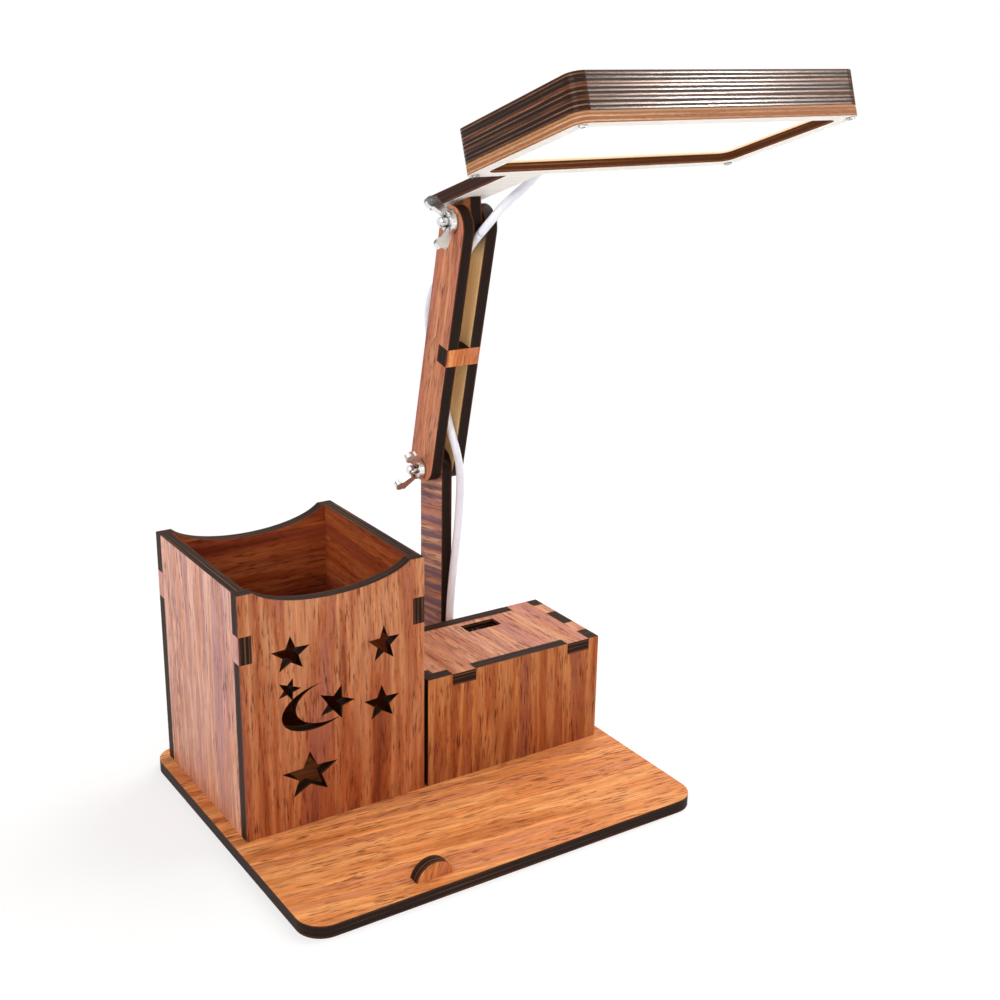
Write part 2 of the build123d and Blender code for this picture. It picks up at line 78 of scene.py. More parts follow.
# The cable's route, from the light's terminal down to the battery box, in metres
HEAD_LOOP = ((0.0586, -0.0127, 0.2522), (0.0586, -0.0023, 0.2487), (0.0586, 0.0068, 0.2456),
             (0.0560, 0.0130, 0.2382), (0.0502, 0.0148, 0.2334), (0.0450, 0.0154, 0.2290),
             (0.0409, 0.0177, 0.2230), (0.0399, 0.02135, 0.2193))
ARM_RUN = ((0.0399, 0.02135, 0.2193), (0.0389, 0.0250, 0.2156), (0.0389, 0.0330, 0.2068),
           (0.0388, 0.0426, 0.2008), (0.0376, 0.0508, 0.1956), (0.0369, 0.0550, 0.1870),
           (0.0369, 0.0556, 0.1774), (0.0380, 0.0544, 0.1676), (0.0390, 0.0508, 0.1568),
           (0.0392, 0.0464, 0.1460), (0.0393, 0.0441, 0.1407))
POST_RUN = ((0.0393, 0.0441, 0.1407), (0.0394, 0.0418, 0.1354), (0.0406, 0.0389, 0.1270),
            (0.0429, 0.0397, 0.1188), (0.0440, 0.0408, 0.1104), (0.0439, 0.0413, 0.1014),
            (0.0433, 0.0414, 0.0922), (0.0424, 0.0415, 0.0828), (0.0412, 0.0415, 0.0732),
            (0.0402, 0.0413, 0.0638), (0.0395, 0.0414, 0.0546), (0.0393, 0.0412, 0.0462),
            (0.0392, 0.0415, 0.0390), (0.0392, 0.0414, 0.0344), (0.0392, 0.0402, 0.0322),
            (0.0392, 0.0382, 0.0310), (0.0392, 0.0358, 0.0310), (0.0392, 0.0305, 0.0310))

# Noise of the boards: cycles per millimetre along the grain, across it and into the board
DRIFT = (0.011, 0.025, 0.05)
STREAKS = (0.055, 0.60, 0.2)
FLECKS = (0.085, 1.0, 0.3)
DASHES = (0.125, 1.10, 0.4)
DASH_PATCHES = (0.035, 0.12, 0.1)
STRIPES = (0.010, 0.30, 0.1)
PLY_STREAKS = (0.030, 1.1, 0.1)
SCORCH = (0.04, 0.04, 0.5)
FIBRES = (0.35, 0.35, 3.0)
LAYER_SHIFT = (0.004, 0.004, 0.45)
LINE_FADE = (0.010, 0.010, 0.55)
BAND_ALONG = 0.006
BAND_DEEP = 0.02

USUAL = (0.30, 0.70)            # part of a noise's range that holds most of its values
SCORCHED = (0.35, 0.60)         # noise values from a clean edge to a fully scorched one
EDGE_TO_FACE = (0.45, 0.60)     # how squarely a surface looks along its board's face, from cut edge to face
ROUNDING = (0.86, 0.97)         # the same from the rounded corner to the flat face
BOARD_STEP = 137.0              # how far apart two boards are cut from the veneer, in millimetres
LAYER_COUNT = 3.0               # light layers in a board's thickness
LAYER_START = 0.80              # where the first of them starts, as a share of their spacing

# Depths of bumps, places where tones change and roundings of edges, in metres unless it says shares
GRAIN_DEPTH = 0.00012
FINE_DEPTH = 0.0001
DENT_DEPTH = 0.0003
CORNER_REACH = 0.0022           # how far the painted shade reaches out of the corners of the hardware
HOLDER_PAINTED_SHADE = (0.025, 0.088)   # heights between which the painted shade on the holder's inner walls turns from dark to light
PIVOT_PAINTED_SHADE = (0.84, 0.93)       # shares of the arm's length between which painted shade round the upper pivot sets in
WALL_DEPTH = (0.0015, 0.0035)   # distances from the head's outer walls over which their warm tone, partly painted glow, ends
TONGUE_START = (0.0002, 0.0008)  # distances behind the head's back wall where its tongue's tone sets in
RIM_SIDEWAYS = (0.048, 0.059)   # distances from the sheet's middle over which its glow turns warm
RIM_LENGTHWAYS = (0.021, 0.032)
CELL_BAND = 0.013
CELL_TIP = 0.0035
PLASTIC_ROUNDING = 0.0002
CELL_ROUNDING = 0.0005
STRIP_ROUNDING = 0.0001

# The stage, in metres, with ways and edges of ways as plain numbers
CARD_WAY = Vector((0.66, -0.63, 0.41)).normalized()     # dark card that the head's front wall mirrors
CARD_EDGE = (0.78, 0.90)
CARD_TONE = 0.1
FLAG_EDGE = (0.20, 0.34)        # how far up a mirrored way looks where the flag at the horizon ends
FLOOR_REACH = 4.0
FLOOR_DROP = 0.0002
FLOOR_FADE = (0.15, 0.60)       # distances from the lamp over which the floor turns plain white
LIGHT_AIM = Vector((0.0, 0.0, 0.11))
SENSOR_WIDTH = 36.0             # in millimetres, as the lens is
NEAR_CLIP = 0.01


def tone(red, green, blue):
    """Linear colour from display values of 0 to 255."""
    shares = [value / 255 for value in (red, green, blue)]
    return tuple(s / 12.92 if s <= 0.04045 else ((s + 0.055) / 1.055) ** 2.4 for s in shares)


def colour(label, words, value):
    """A colour setting."""
    return FloatVectorProperty(
        name=label, description=words, subtype="COLOR", size=3, min=0, max=1, default=value)


def share(label, words, value, high=1.0):
    """A setting from 0 up to a limit."""
    return FloatProperty(name=label, description=words, subtype="FACTOR", min=0, max=high, default=value)


def length(label, words, value):
    """A length setting in metres."""
    return FloatProperty(name=label, description=words, unit="LENGTH", min=0, default=value)


def power(label, words, value):
    """A setting for a light's power in watts."""
    return FloatProperty(name=label, description=words, unit="POWER", min=0, default=value)


class WalnutSettings(bpy.types.PropertyGroup):
    """Tones and sizes of the veneer"""
    deep: colour("Deep bands", "Darkest bands of the veneer", tone(158, 82, 42))
    middle: colour("Middle", "Main tone of the veneer", tone(210, 124, 66))
    bright: colour("Bright bands", "Lightest bands of the veneer", tone(242, 170, 106))
    rosy: colour("Rosy bands", "Pinkish bands of the veneer", tone(204, 128, 92))
    dusk: colour("Dusky stripes", "Dusty stripes along the grain of some boards", tone(120, 78, 70))
    pore: colour("Pores", "Short dark dashes in the veneer", tone(116, 54, 28))
    rind: colour("Veneer rim", "Veneer seen from the cut edge", tone(134, 74, 38))
    bevel: length("Edge rounding", "Rounding of the cut edges", 0.0003)
    band: length("Band width", "Width of the veneer's broad bands", 0.009)
    sway: length("Sway", "How far the grain wanders from side to side", 0.006)


class HardwareSettings(bpy.types.PropertyGroup):
    """Tones and sizes of nuts, bolts, washers and screws"""
    zinc: colour("Zinc", "Bright plating of nuts, bolts and screws", (0.82, 0.82, 0.81))
    # Painted shade in the corners of the plating
    painted_recess_shade: colour("Recess tone", "Tone in the corners of the plating", (0.05, 0.05, 0.05))
    rough: share("Roughness", "Roughness of the plating", 0.24)
    nut_bevel: length("Nut rounding", "Rounding of the wing nuts", 0.00045)
    bolt_bevel: length("Bolt rounding", "Rounding of bolts, washers and screws", 0.00018)


class LightSettings(bpy.types.PropertyGroup):
    """Tones and brightness of the frosted sheet"""
    sheet: colour("Sheet", "Frosted sheet under the light board", tone(206, 200, 188))
    glow: colour("Glow", "Light through the sheet near its rim", (0.64, 0.46, 0.24))
    strength: FloatProperty(name="Glow strength", description="Brightness of the sheet", min=0, default=0.85)


class PlasticSettings(bpy.types.PropertyGroup):
    """Tones of the switch, the battery and the light board"""
    black: colour("Black plastic", "Switch, battery holder and terminals", (0.018, 0.018, 0.020))
    wrap: colour("Cell sleeve", "Sleeve of the battery cells", tone(30, 92, 62))
    band: colour("Cell band", "Band at the ends of the battery cells", tone(190, 150, 80))
    board: colour("Light board", "Solder mask of the light board", tone(232, 232, 226))


class CableSettings(bpy.types.PropertyGroup):
    """Tone and size of the cable"""
    sleeve: colour("Sleeve", "White sleeve of the cable", (0.90, 0.92, 1.0))
    thickness: length("Thickness", "Outer diameter of the cable", 0.0034)
    sides: IntProperty(name="Sides", description="Corners round the cable", min=6, max=48, default=20)


class StageSettings(bpy.types.PropertyGroup):
    """Camera and lights"""
    eye: FloatVectorProperty(
        name="Camera place", description="Where the camera stands", subtype="TRANSLATION", unit="LENGTH",
        size=3, default=(-0.261134, -0.446256, 0.297449))
    turn: FloatVectorProperty(
        name="Camera turn", description="How the camera is turned", subtype="EULER", unit="ROTATION",
        size=3, default=tuple(math.radians(angle) for angle in (71.3876, -0.9983, -33.4194)))
    lens: FloatProperty(name="Lens", description="Focal length in millimetres", unit="CAMERA", default=51.15)
    sky: share("Room light", "Even light from all round", 0.30, high=4.0)
    flag: share("Flag", "What is left of the backdrop in reflections near the horizon", 0.25)
    key: power("Key light", "Power of the softbox on the upper right", 12.4)
    side: power("Side light", "Power of the softbox on the left", 6.4)
    fill: power("Front light", "Power of the low softbox in front", 4.4)
    strip: power("Strip light", "Power of the small light that shows only as shine", 11.0)


class Wiring:
    """Short way to put nodes into one tree and join them."""

    def __init__(self, tree):
        self.tree = tree

    def put(self, kind, ins=None, **settings):
        """Adds a node, sets it up and fills its inputs from values or from other nodes' outputs."""
        node = self.tree.nodes.new(kind)
        for name, value in settings.items():
            setattr(node, name, value)
        self.fill(node, ins or {})
        return node

    def fill(self, node, ins):
        """Sets a node's inputs to values or joins them to other nodes' outputs."""
        for key, value in ins.items():
            if isinstance(value, bpy.types.NodeSocket):
                self.tree.links.new(value, node.inputs[key])
            else:
                node.inputs[key].default_value = value

    def spot(self):
        """Place on the surface, in the piece's own frame."""
        return self.put("ShaderNodeTexCoord").outputs["Object"]

    def sum(self, operation, *values, clamp=False):
        """Result of a Math node."""
        ins = dict(enumerate(values))
        return self.put("ShaderNodeMath", ins, operation=operation, use_clamp=clamp).outputs[0]

    def dot(self, vector, way):
        """How far a vector reaches along a direction."""
        ins = {0: vector, 1: tuple(way)}
        return self.put("ShaderNodeVectorMath", ins, operation="DOT_PRODUCT").outputs["Value"]

    def away(self, vector, way, limit):
        """How far a place is from a limit along a direction, to either side."""
        return self.sum("ABSOLUTE", self.sum("SUBTRACT", self.dot(vector, way), limit))

    def stretched(self, vector, along, across, deep):
        """A place scaled by its own factor on each axis."""
        ins = {0: vector, 1: (along, across, deep)}
        return self.put("ShaderNodeVectorMath", ins, operation="MULTIPLY").outputs[0]

    def noise(self, vector, scale=1.0, detail=2.0, rough=0.5):
        """Noise value at a place."""
        ins = {"Vector": vector, "Scale": scale, "Detail": detail, "Roughness": rough}
        return self.put("ShaderNodeTexNoise", ins).outputs[0]

    def ramp(self, value, *stops):
        """Colours or tones picked by a value."""
        node = self.put("ShaderNodeValToRGB", {0: value})
        marks = node.color_ramp.elements
        for index, (place, shade) in enumerate(stops):
            mark = marks[index] if index < 2 else marks.new(place)
            mark.position = place
            mark.color = (shade, shade, shade, 1) if isinstance(shade, float) else (*shade, 1)
        return node.outputs[0]

    def mixed(self, factor, low, high, blend="MIX"):
        """Mix of two colours, which are the Mix node's inputs 6 and 7."""
        ins = {0: factor}
        for index, value in ((6, low), (7, high)):
            ins[index] = value if isinstance(value, bpy.types.NodeSocket) else (*value, 1)
        return self.put("ShaderNodeMix", ins, data_type="RGBA", blend_type=blend).outputs[2]

    def blend(self, factor, low, high):
        """Mix of two values."""
        return self.put("ShaderNodeMix", {0: factor, 2: low, 3: high}, data_type="FLOAT").outputs[0]

    def span(self, value, low, high, to_low=0.0, to_high=1.0, smooth=False):
        """A value carried from one span to another, kept inside it."""
        ins = {0: value, 1: low, 2: high, 3: to_low, 4: to_high}
        kind = "SMOOTHSTEP" if smooth else "LINEAR"
        return self.put("ShaderNodeMapRange", ins, interpolation_type=kind).outputs[0]

    def bump(self, height, strength, distance):
        """A normal bent by a height."""
        ins = {"Height": height, "Strength": strength, "Distance": distance}
        return self.put("ShaderNodeBump", ins).outputs[0]


def new_finish(name, **sockets):
    """A material with one main shader, whose constants are set on its own sockets."""
    material = bpy.data.materials.new(name)
    material.use_nodes = True
    wiring = Wiring(material.node_tree)
    shader = material.node_tree.nodes["Principled BSDF"]
    for key, value in sockets.items():
        shader.inputs[key.replace("_", " ")].default_value = value
    return material, wiring, shader


def dress(obj, material):
    """Gives a piece one material all over."""
    obj.data.materials.clear()
    obj.data.materials.append(material)


def round_edges(obj, width, segments=2, angle=38):
    """Rounds the sharp edges of a solid without touching its mesh."""
    bevel = obj.modifiers.new("edge_rounding", "BEVEL")
    bevel.width = width
    bevel.segments = segments
    bevel.limit_method = "ANGLE"
    bevel.angle_limit = math.radians(angle)
    bevel.use_clamp_overlap = True
    bevel.harden_normals = True


def veneer(w, given, wood):
    """Tone of a veneered face, with its streaks and its dark dashes."""
    # The grain wanders a little to each side along the board
    drift = w.noise(w.stretched(given["Place"], *DRIFT), detail=2)
    sway = w.sum("MULTIPLY", w.sum("SUBTRACT", drift, 0.5), wood.sway / MM)
    shift = w.put("ShaderNodeCombineXYZ", {1: sway}).outputs[0]
    grain = w.put("ShaderNodeVectorMath", {0: given["Place"], 1: shift}, operation="ADD").outputs[0]

    # Broad bands, thin streaks, pale flecks, short dark dashes and dusky stripes
    bands = w.noise(w.stretched(grain, BAND_ALONG, MM / wood.band, BAND_DEEP), detail=2, rough=0.5)
    face = w.ramp(bands, (0.28, wood.deep), (0.39, wood.middle), (0.48, wood.bright), (0.55, wood.middle),
                  (0.63, wood.rosy), (0.74, wood.deep))
    face = w.mixed(given["Calm"], face, wood.middle)
    streaks = w.noise(w.stretched(grain, *STREAKS), detail=4, rough=0.65)
    face = w.mixed(1.0, face, w.span(streaks, *USUAL, 0.78, 1.16), "MULTIPLY")
    flecks = w.noise(w.stretched(grain, *FLECKS), detail=3, rough=0.6)
    face = w.mixed(w.span(flecks, 0.56, 0.72, 0.0, 0.5), face, wood.bright)
    dashes = w.noise(w.stretched(grain, *DASHES), detail=3, rough=0.6)
    patches = w.noise(w.stretched(grain, *DASH_PATCHES), detail=2)
    pits = w.sum("MULTIPLY", w.span(dashes, 0.52, 0.65), w.span(patches, 0.38, 0.60, 0.35, 0.90))
    face = w.mixed(pits, face, wood.pore)
    stripes = w.noise(w.stretched(grain, *STRIPES), detail=3, rough=0.6)
    face = w.mixed(w.sum("MULTIPLY", w.span(stripes, 0.46, 0.56), given["Stripe"]), face, wood.dusk)
    # Each board's tint, changing along its grain, holds painted highlight and painted sheen on some boards
    face = w.mixed(1.0, face, w.mixed(given["Along"], given["Tint"], given["Far tint"]), "MULTIPLY")
    return face, streaks, pits


def both_faces(w, given, face):
    """The veneer's tone, and on the board's other side bare ply or veneer in another tone."""
    lines = w.noise(w.stretched(given["Place"], *PLY_STREAKS), detail=5, rough=0.6)
    bare = w.span(lines, 0.35, 0.70, 1.0, 0.84)
    raw = w.mixed(1.0, given["Raw"], w.mixed(given["Veneer"], bare, face), "MULTIPLY")
    other = w.sum("GREATER_THAN", w.sum("MULTIPLY", given["Facing"], given["Bare"]), 0.5)
    return w.mixed(other, face, raw)


def charred_edge(w, given, wood, scorch, fibres):
    """Tone of a cut edge: soot over light layers, thicker in some stretches than in others."""
    uneven = w.noise(w.stretched(given["Place"], *LAYER_SHIFT), detail=2)
    bent = w.sum("MULTIPLY_ADD", uneven, 0.95, w.sum("MULTIPLY", scorch, 0.25))
    layer = w.sum("ADD", w.sum("MULTIPLY", given["Depth"], LAYER_COUNT), bent)
    wave = w.sum("SINE", w.sum("MULTIPLY", w.sum("SUBTRACT", layer, LAYER_START), 2 * math.pi))
    fade = w.noise(w.stretched(given["Place"], *LINE_FADE), detail=4, rough=0.75)
    ply = w.sum("MULTIPLY", w.span(wave, 0.20, 0.95), w.span(fade, 0.40, 0.60, 0.08, 1.0))
    soot = w.sum("MULTIPLY", given["Soot"], w.span(scorch, *SCORCHED, 0.75, 1.0))
    clear = w.sum("SUBTRACT", 1.0, soot, clamp=True)
    edge = w.mixed(w.sum("MULTIPLY", ply, clear), given["Edge"], given["Line"])
    rim = w.span(w.sum("ABSOLUTE", w.sum("SUBTRACT", given["Depth"], 0.5)), 0.36, 0.47)
    edge = w.mixed(w.sum("MULTIPLY", rim, w.span(scorch, *SCORCHED, 0.75, 0.15)), edge, wood.rind)
    edge = w.mixed(1.0, edge, w.span(fibres, *USUAL, 0.65, 1.15), "MULTIPLY")
    return edge, ply, wave


def walnut_group(wood):
    """Node group for a veneered board: grained faces, and charred edges with their ply lines."""
    group = bpy.data.node_groups.new("walnut_board", "ShaderNodeTree")
    numbers = ("Along", "Facing", "Depth", "Stripe", "Soot", "Polish", "Bare", "Veneer", "Calm")
    colours = ("Tint", "Far tint", "Edge", "Line", "Raw")
    sockets = (
        ("INPUT", "NodeSocketVector", ("Place",)),
        ("INPUT", "NodeSocketFloat", numbers),
        ("INPUT", "NodeSocketColor", colours),
        ("OUTPUT", "NodeSocketColor", ("Color",)),
        ("OUTPUT", "NodeSocketFloat", ("Roughness", "Height")),
    )
    for side, kind, names in sockets:
        for name in names:
            group.interface.new_socket(name, in_out=side, socket_type=kind)
    w = Wiring(group)
    given = w.put("NodeGroupInput").outputs
    scorch = w.noise(w.stretched(given["Place"], *SCORCH), detail=4, rough=0.6)
    fibres = w.noise(w.stretched(given["Place"], *FIBRES), detail=4, rough=0.7)
    face, streaks, pits = veneer(w, given, wood)
    face = both_faces(w, given, face)
    edge, ply, wave = charred_edge(w, given, wood, scorch, fibres)

    # Thin bright line where a face meets an edge: worn veneer, and a painted highlight along the rounded
    # edge
    flat = w.sum("ABSOLUTE", given["Facing"])
    cut = w.span(flat, *EDGE_TO_FACE, 1.0, 0.0)
    wear_and_highlight = w.sum("MULTIPLY", w.span(flat, *EDGE_TO_FACE), w.span(flat, *ROUNDING, 1.0, 0.0))
    face = w.mixed(w.sum("MULTIPLY", wear_and_highlight, w.span(scorch, *SCORCHED, 0.75, 0.20)), face, wood.bright)

    # Relief and roughness of faces and of cut edges, which are smoother where they are polished
    relief = w.sum("SUBTRACT", w.sum("MULTIPLY", streaks, 0.5), pits)
    cutting = w.sum("ADD", fibres, w.sum("MULTIPLY", ply, 0.6))
    cutting = w.sum("MULTIPLY", cutting, w.span(given["Polish"], 0.0, 1.0, 1.0, 0.15))
    matt = w.span(fibres, *USUAL, 0.48, 0.62)
    shine = w.sum("MULTIPLY", given["Polish"], w.span(wave, -0.4, 0.6, 0.05, 0.36))
    w.put("NodeGroupOutput", {
        "Color": w.mixed(cut, face, edge),
        "Roughness": w.blend(cut, w.span(streaks, *USUAL, 0.46, 0.34), w.sum("SUBTRACT", matt, shine)),
        "Height": w.blend(cut, relief, cutting),
    })
    return group


CHAR = tone(37, 23, 17)
PLY_LINE = tone(156, 102, 62)
BARE_PLY = tone(206, 172, 122)
# Painted light: bare ply between the arm's plates, made brighter than the bare ply elsewhere
FORK_INSIDE_PAINTED_LIGHT = tone(244, 210, 156)
# Painted light: the head's underside frame is toned near white for the glare of the sheet's light on it
PAINTED_GLOW_UNDERSIDE = tone(255, 253, 246)
# Painted shade on the pen holder's inner walls, darkest towards the bottom
PAINTED_INSIDE_SHADE = (0.58, 0.34, 0.28)
PAINTED_LOW_INSIDE_SHADE = (0.20, 0.13, 0.105)
# Lightly charred edges of the head's bottom frame, lightened with painted glow from the sheet
GLOW_LIT_EDGE = tone(178, 116, 76)
GLOW_LIT_LINE = tone(240, 196, 156)
COPPER_LINE = tone(190, 124, 84)
TONGUE_EDGE = tone(58, 36, 28)
TONGUE_LINE = tone(118, 74, 58)
WINDOW_EDGE = tone(84, 46, 26)
WINDOW_LINE = tone(152, 98, 58)


class Board:
    """How one board is cut: which way its grain runs, which way its face looks, and how it is toned."""

    def __init__(self, grain, face, tint=(1.0, 1.0, 1.0), far=None, stripe=0.1, soot=0.85, **more):
        self.grain = Vector(grain).normalized()
        self.face = Vector(face).normalized()
        self.gloss = more.get("gloss", 0.10)
        self.tones = {"Tint": tint, "Far tint": far or tint, "Edge": more.get("edge", CHAR),
                      "Line": more.get("line", PLY_LINE), "Raw": more.get("raw", BARE_PLY)}
        self.shares = {"Stripe": stripe, "Soot": soot}
        for part in ("polish", "bare", "veneer", "calm"):
            self.shares[part.capitalize()] = more.get(part, 0.0)


def holder_board(grain, face, inner_side, tint=(1.0, 1.0, 1.0), far=None, **more):
    """A wall of the pen holder, whose veneer is darkened with painted shade on its inner side."""
    return Board(grain, face, tint, far, bare=inner_side, veneer=1.0, raw=PAINTED_INSIDE_SHADE, **more)


def arm_board(inner_side):
    """One of the arm's two plates, with bare ply on its inner side, brightened with painted light and
    darkened with painted shade near the upper pivot.
    """
    return Board(ARM_WAY, X_WAY, (0.93, 0.97, 1.50), soot=1.3, bare=inner_side, raw=FORK_INSIDE_PAINTED_LIGHT, calm=0.3)


def head_board():
    """One of the three boards above the light's sheet, with polished copper lines in its edges."""
    return Board(X_WAY, HEAD_UP, soot=0.2, line=COPPER_LINE, polish=1.0, gloss=0.16)


BOARDS = {
    "base_board": Board((1.0, -0.10, 0), Z_WAY, (1.10, 1.20, 1.28), stripe=0.0, soot=0.97, calm=0.4),
    "phone_stop": Board((0.3, 0, 1.0), Y_WAY, (0.95, 0.85, 0.80), soot=0.5),
    # The front wall turns lighter and pinker towards its top: painted highlight
    "holder_front": holder_board(Z_WAY, Y_WAY, 1.0, (0.60, 0.44, 0.41), (0.78, 0.76, 1.00), soot=0.8),
    "holder_back": holder_board(X_WAY, Y_WAY, -1.0, soot=0.8),
    # The left wall's pale pink tint, paler towards its top, is partly the veneer's tone and partly painted
    # sheen
    "holder_left": holder_board(Z_WAY, X_WAY, 1.0, (1.00, 1.24, 2.34), (1.18, 1.78, 4.15),
                                stripe=0.25, soot=0.55, calm=0.5),
    "holder_right": holder_board(Y_WAY, X_WAY, -1.0, soot=0.55),
    "box_front": Board(Z_WAY, Y_WAY, (0.55, 0.43, 0.38), (0.70, 0.59, 0.53)),
    "box_back": Board(Z_WAY, Y_WAY),
    "box_left": Board(Z_WAY, X_WAY),
    "box_right": Board(Z_WAY, X_WAY),
    "box_lid": Board(Y_WAY, Z_WAY, (0.96, 1.18, 2.15), soot=0.4, bare=-1.0, calm=0.4),
    "post": Board((0, 1.0, -0.12), X_WAY, (0.84, 1.08, 1.90), stripe=0.9, soot=1.2),
    "arm_plate_left": arm_board(1.0),
    "arm_plate_right": arm_board(-1.0),
    "arm_spacer": Board(ARM_WAY, ARM_FRONT, (1.05, 1.00, 1.00), soot=1.0),
    "hinge_plate": Board(ARM_WAY, X_WAY, (0.55, 0.45, 0.45), soot=1.3),
    "head_bottom_frame": Board(X_WAY, HEAD_UP, soot=0.2, edge=GLOW_LIT_EDGE, line=GLOW_LIT_LINE,
                               bare=-1.0, raw=PAINTED_GLOW_UNDERSIDE),
    "head_lower_frame": head_board(),
    "head_upper_frame": head_board(),
    "head_cover": head_board(),
}


def head_edges(w, place):
    """Edge and line tones of the bottom frame: warm outside, lightly charred and partly painted glow from
    the sheet, browner in its window, dark on its tongue.
    """
    corners = [vertex.co for vertex in NODES["head_cover"].data.vertices]
    near = 0.0
    for way in (X_WAY, HEAD_BACK):
        reach = [corner.dot(way) for corner in corners]
        for limit in (min(reach), max(reach)):
            near = w.sum("MAXIMUM", near, w.span(w.away(place, way, limit), *WALL_DEPTH, 1.0, 0.0))
    back = max(corner.dot(HEAD_BACK) for corner in corners)
    behind = w.span(w.dot(place, HEAD_BACK), *(back + start for start in TONGUE_START))
    tones = {}
    for part, tongue, window, wall in (("Edge", TONGUE_EDGE, WINDOW_EDGE, GLOW_LIT_EDGE),
                                       ("Line", TONGUE_LINE, WINDOW_LINE, GLOW_LIT_LINE)):
        tones[part] = w.mixed(behind, w.mixed(near, window, wall), tongue)
    return tones


def board_finish(name, cut, start, group):
    """Finish of one board, whose place in the veneer starts at a number of millimetres."""
    material, w, shader = new_finish("walnut_" + name, Specular_IOR_Level=cut.gloss)
    given = w.put("ShaderNodeTexCoord").outputs
    place = given["Object"]
    ways = (cut.grain, cut.face.cross(cut.grain), cut.face)
    steps = [w.sum("MULTIPLY_ADD", w.dot(place, way), 1 / MM, start) for way in ways]
    spans = []
    for way in (cut.grain, cut.face):
        reach = [vertex.co.dot(way) for vertex in NODES[name].data.vertices]
        spans.append(w.span(w.dot(place, way), min(reach), max(reach)))
    along, depth = spans
    made = w.put("ShaderNodeGroup", node_tree=group)
    w.fill(made, {
        "Place": w.put("ShaderNodeCombineXYZ", dict(enumerate(steps))).outputs[0],
        "Along": along,
        "Facing": w.dot(given["Normal"], cut.face),
        "Depth": depth,
    })
    w.fill(made, cut.shares)
    w.fill(made, {part: (*value, 1) for part, value in cut.tones.items()})
    # Painted shade: the holder's inner walls darken towards the bottom
    if cut.tones["Raw"] == PAINTED_INSIDE_SHADE:
        height = w.span(w.dot(place, Z_WAY), *HOLDER_PAINTED_SHADE, smooth=True)
        w.fill(made, {"Raw": w.mixed(height, PAINTED_LOW_INSIDE_SHADE, PAINTED_INSIDE_SHADE)})
    # Painted shade: the inner faces of the arm's plates turn dark near the upper pivot
    if cut.tones["Raw"] == FORK_INSIDE_PAINTED_LIGHT:
        w.fill(made, {"Raw": w.mixed(w.span(along, *PIVOT_PAINTED_SHADE), FORK_INSIDE_PAINTED_LIGHT, CHAR)})
    if name == "head_bottom_frame":
        w.fill(made, head_edges(w, place))
    w.fill(shader, {
        "Base Color": made.outputs["Color"],
        "Roughness": made.outputs["Roughness"],
        "Normal": w.bump(made.outputs["Height"], strength=0.35, distance=GRAIN_DEPTH),
    })
    return material


class LAMP_OT_boards(bpy.types.Operator):
    """Gives every board its veneer, grain and charred edges"""
    bl_idname = "lamp.boards"
    bl_label = "Dress the boards"

    def execute(self, context):
        wood = context.scene.lamp_walnut
        group = walnut_group(wood)
        for number, (name, cut) in enumerate(BOARDS.items(), 1):
            dress(NODES[name], board_finish(name, cut, BOARD_STEP * number, group))
            round_edges(NODES[name], wood.bevel)
        return {"FINISHED"}


class LAMP_OT_hardware(bpy.types.Operator):
    """Gives bolts, washers, wing nuts and screws their bright plating"""
    bl_idname = "lamp.hardware"
    bl_label = "Dress the hardware"

    def execute(self, context):
        metal = context.scene.lamp_hardware
        material, w, shader = new_finish("bright_zinc", Metallic=1.0)
        spot = w.spot()
        cloud = w.noise(spot, scale=260.0, detail=2, rough=0.5)
        dents = w.noise(spot, scale=220.0, detail=2, rough=0.5)
        # Painted shade: the plating darkens in its corners and recesses
        shade = w.put("ShaderNodeAmbientOcclusion", {"Distance": CORNER_REACH}, samples=16).outputs["AO"]
        tint = w.mixed(w.span(shade, 0.25, 0.85), metal.painted_recess_shade, metal.zinc)
        w.fill(shader, {
            "Base Color": w.mixed(0.20, tint, w.ramp(cloud, (0.3, 0.72), (0.7, 1.0)), "MULTIPLY"),
            "Roughness": w.span(cloud, *USUAL, metal.rough * 0.8, metal.rough * 1.2),
            "Normal": w.bump(dents, strength=0.15, distance=DENT_DEPTH),
        })
        for name in ("lower_wing_nut", "upper_wing_nut"):
            dress(NODES[name], material)
            round_edges(NODES[name], metal.nut_bevel, segments=3, angle=30)
        for name in ("lower_bolt", "upper_bolt", "lower_washers", "upper_washers", "head_screws"):
            dress(NODES[name], material)
            round_edges(NODES[name], metal.bolt_bevel, angle=30)
        return {"FINISHED"}


def frosted_sheet(light):
    """Frosted plastic that glows on its underside, warmer towards its rim."""
    low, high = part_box("diffuser")
    middle = (low + high) / 2
    material, w, shader = new_finish("frosted_sheet", Emission_Strength=light.strength, IOR=1.49)
    given = w.put("ShaderNodeTexCoord").outputs
    spot = given["Object"]
    frost = w.noise(spot, scale=2600.0, detail=3, rough=0.6)
    sideways = w.span(w.away(spot, X_WAY, middle.x), *RIM_SIDEWAYS, smooth=True)
    lengthways = w.span(w.away(spot, HEAD_BACK, middle.dot(HEAD_BACK)), *RIM_LENGTHWAYS, smooth=True)
    rim = w.sum("MAXIMUM", sideways, lengthways)
    glow = w.mixed(rim, (1.0, 0.985, 0.95), light.glow)
    down = w.sum("GREATER_THAN", w.dot(given["Normal"], -HEAD_UP), 0.7)
    # Painted glow: the sheet's own tone turns warm towards its rim, beside the warm glow of its emission
    plain = w.mixed(rim, light.sheet, tone(196, 150, 96))
    w.fill(shader, {
        "Base Color": w.mixed(w.span(frost, *USUAL, 0.0, 0.12), plain, tone(220, 200, 168)),
        "Emission Color": w.mixed(down, (0.0, 0.0, 0.0), glow),
        "Roughness": w.span(frost, *USUAL, 0.45, 0.62),
        "Normal": w.bump(frost, strength=0.2, distance=FINE_DEPTH),
    })
    return material


